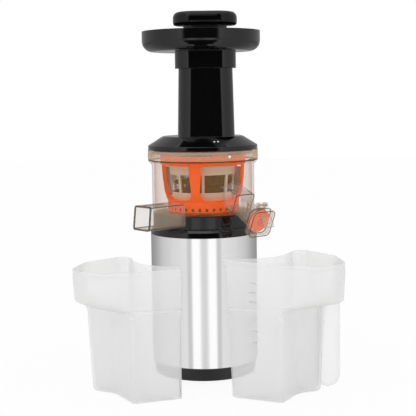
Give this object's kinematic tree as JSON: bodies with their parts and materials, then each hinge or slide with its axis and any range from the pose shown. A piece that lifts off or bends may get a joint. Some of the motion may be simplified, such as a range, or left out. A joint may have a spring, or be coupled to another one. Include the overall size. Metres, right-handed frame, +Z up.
{
  "type": "cold press juicer",
  "caption": "Upright slow juicer: steel motor base, tinted bowl with auger, strainer and orange brush, feed tube, tray and pusher, capped juice spout, pulp spout and two jugs",
  "frame": {"origin": "point on the counter under the drive axis", "axes": "+Z up along the drive axis, -Y toward the front where the two spouts and jugs are, +X to the right seen from the front"},
  "size_m": [0.2909, 0.2328, 0.4202],
  "materials": {
    "black_gloss": "high gloss moulded plastic",
    "charcoal": "fine matt moulded plastic",
    "steel": "vertical soft brushed steel sheet",
    "smoke_clear": "tinted clear plastic",
    "frosted_clear": "frosted clear plastic",
    "cream": "satin moulded plastic",
    "orange": "satin moulded plastic",
    "orange_soft": "soft moulded silicone",
    "mesh": "perforated sheet",
    "graphite": "satin moulded plastic",
    "seal": "soft moulded silicone",
    "seal_grey": "soft moulded silicone",
    "white_mark": "printed dot",
    "zinc": "plated steel",
    "lamination": "stacked steel sheets",
    "copper": "varnished wire",
    "casting": "cast metal",
    "gear_plastic": "moulded engineering plastic",
    "case_white": "moulded plastic"
  },
  "bodies": {
    "base": {"base_ring": "charcoal", "bottom_cover": "charcoal", "rubber_feet": "seal", "cover_screws": "zinc", "tie_bolts": "zinc", "steel_shell": "steel", "base_top": "black_gloss", "motor_stator": "lamination", "stator_windings": "copper", "lower_bracket": "casting", "upper_bracket": "casting", "lower_bearing": "zinc", "upper_bearing": "zinc", "run_capacitor": "case_white", "capacitor_clip": "zinc", "terminal_block": "case_white", "gearbox_plate": "casting", "gearbox_cover": "casting", "gearbox_screws": "zinc", "layshaft_pin": "zinc", "output_bearing": "zinc", "output_seal": "seal", "switch_bezel": "black_gloss", "cord_gland": "graphite"},
    "rotor": {"rotor_core": "lamination", "motor_shaft": "zinc", "cooling_fan": "graphite"},
    "layshaft": {"layshaft_gear": "gear_plastic"},
    "drive": {"output_gear": "casting", "drive_shaft": "zinc"},
    "bowl_set": {"bowl": "smoke_clear", "pulp_chute": "smoke_clear", "juice_chute": "smoke_clear", "shaft_seal": "seal_grey", "rim_seal": "seal", "idler_pin": "zinc", "strainer_frame": "cream", "strainer_mesh": "mesh", "alignment_dot": "white_mark"},
    "idler": {"idler_gear": "gear_plastic"},
    "auger_set": {"auger": "graphite", "auger_gear": "gear_plastic"},
    "brush": {"brush_frame": "orange", "wiper_blades": "seal_grey"},
    "lid_set": {"lid": "black_gloss", "lid_seal": "seal_grey", "auger_bush": "case_white", "lock_dots": "white_mark"},
    "tray": {"feed_tray": "black_gloss"},
    "pusher": {"pusher_cap": "black_gloss", "pusher_stem": "graphite"},
    "juice_cap": {"cap_cover": "smoke_clear", "cap_plug": "orange_soft", "cap_gasket": "seal", "cap_hinge_pin": "cream"},
    "power_rocker": {"rocker": "black_gloss"},
    "juice_container": {"juice_jug": "frosted_clear"},
    "pulp_container": {"pulp_jug": "frosted_clear"}
  },
  "joints": [
    {"name": "drive_spin", "type": "hinge", "parent": "base", "child": "drive", "pos_m": [0, 0, 0.12], "axis": [0, 0, 1], "continuous": true},
    {"name": "layshaft_spin", "type": "hinge", "parent": "base", "child": "layshaft", "pos_m": [0.01909, 0.01909, 0.12], "axis": [0, 0, 1], "continuous": true},
    {"name": "rotor_spin", "type": "hinge", "parent": "base", "child": "rotor", "pos_m": [0, 0, 0.06], "axis": [0, 0, 1], "continuous": true},
    {"name": "bowl_lift", "type": "slide", "parent": "base", "child": "bowl_set", "axis": [0, 0, 1], "range_m": [0, 0.07]},
    {"name": "auger_spin", "type": "hinge", "parent": "bowl_set", "child": "auger_set", "pos_m": [0, 0, 0.23], "axis": [0, 0, 1], "continuous": true},
    {"name": "idler_spin", "type": "hinge", "parent": "bowl_set", "child": "idler", "pos_m": [0, 0.0255, 0.2], "axis": [0, 0, 1], "continuous": true},
    {"name": "brush_spin", "type": "hinge", "parent": "bowl_set", "child": "brush", "pos_m": [0, 0, 0.23], "axis": [0, 0, 1], "continuous": true},
    {"name": "lid_twist", "type": "hinge", "parent": "bowl_set", "child": "lid_set", "pos_m": [0, 0, 0.265], "axis": [0, 0, 1], "range_deg": [0, 30]},
    {"name": "tray_lift", "type": "slide", "parent": "lid_set", "child": "tray", "axis": [0, 0, 1], "range_m": [0, 0.02]},
    {"name": "pusher_lift", "type": "slide", "parent": "tray", "child": "pusher", "axis": [0, 0, 1], "range_m": [0, 0.125]},
    {"name": "juice_cap_hinge", "type": "hinge", "parent": "bowl_set", "child": "juice_cap", "pos_m": [0.06401, -0.0868, 0.20563], "axis": [-0.788, -0.6157, 0], "range_deg": [0, 95]},
    {"name": "rocker_tilt", "type": "hinge", "parent": "base", "child": "power_rocker", "pos_m": [0, 0.058, 0.07], "axis": [1, 0, 0], "range_deg": [-10, 10]},
    {"name": "juice_jug_slide", "type": "slide", "parent": "base", "child": "juice_container", "axis": [0.619, -0.7854, 0], "range_m": [-0.03, 0.12]},
    {"name": "pulp_jug_slide", "type": "slide", "parent": "base", "child": "pulp_container", "axis": [-0.293, -0.9561, 0], "range_m": [-0.03, 0.12]}
  ],
  "couplings": [
    {"joint": "layshaft_spin", "follows": "drive_spin", "ratio": -5},
    {"joint": "rotor_spin", "follows": "drive_spin", "ratio": 25},
    {"joint": "auger_spin", "follows": "drive_spin", "ratio": 1},
    {"joint": "idler_spin", "follows": "drive_spin", "ratio": -1.4286},
    {"joint": "brush_spin", "follows": "drive_spin", "ratio": -0.41667}
  ]
}
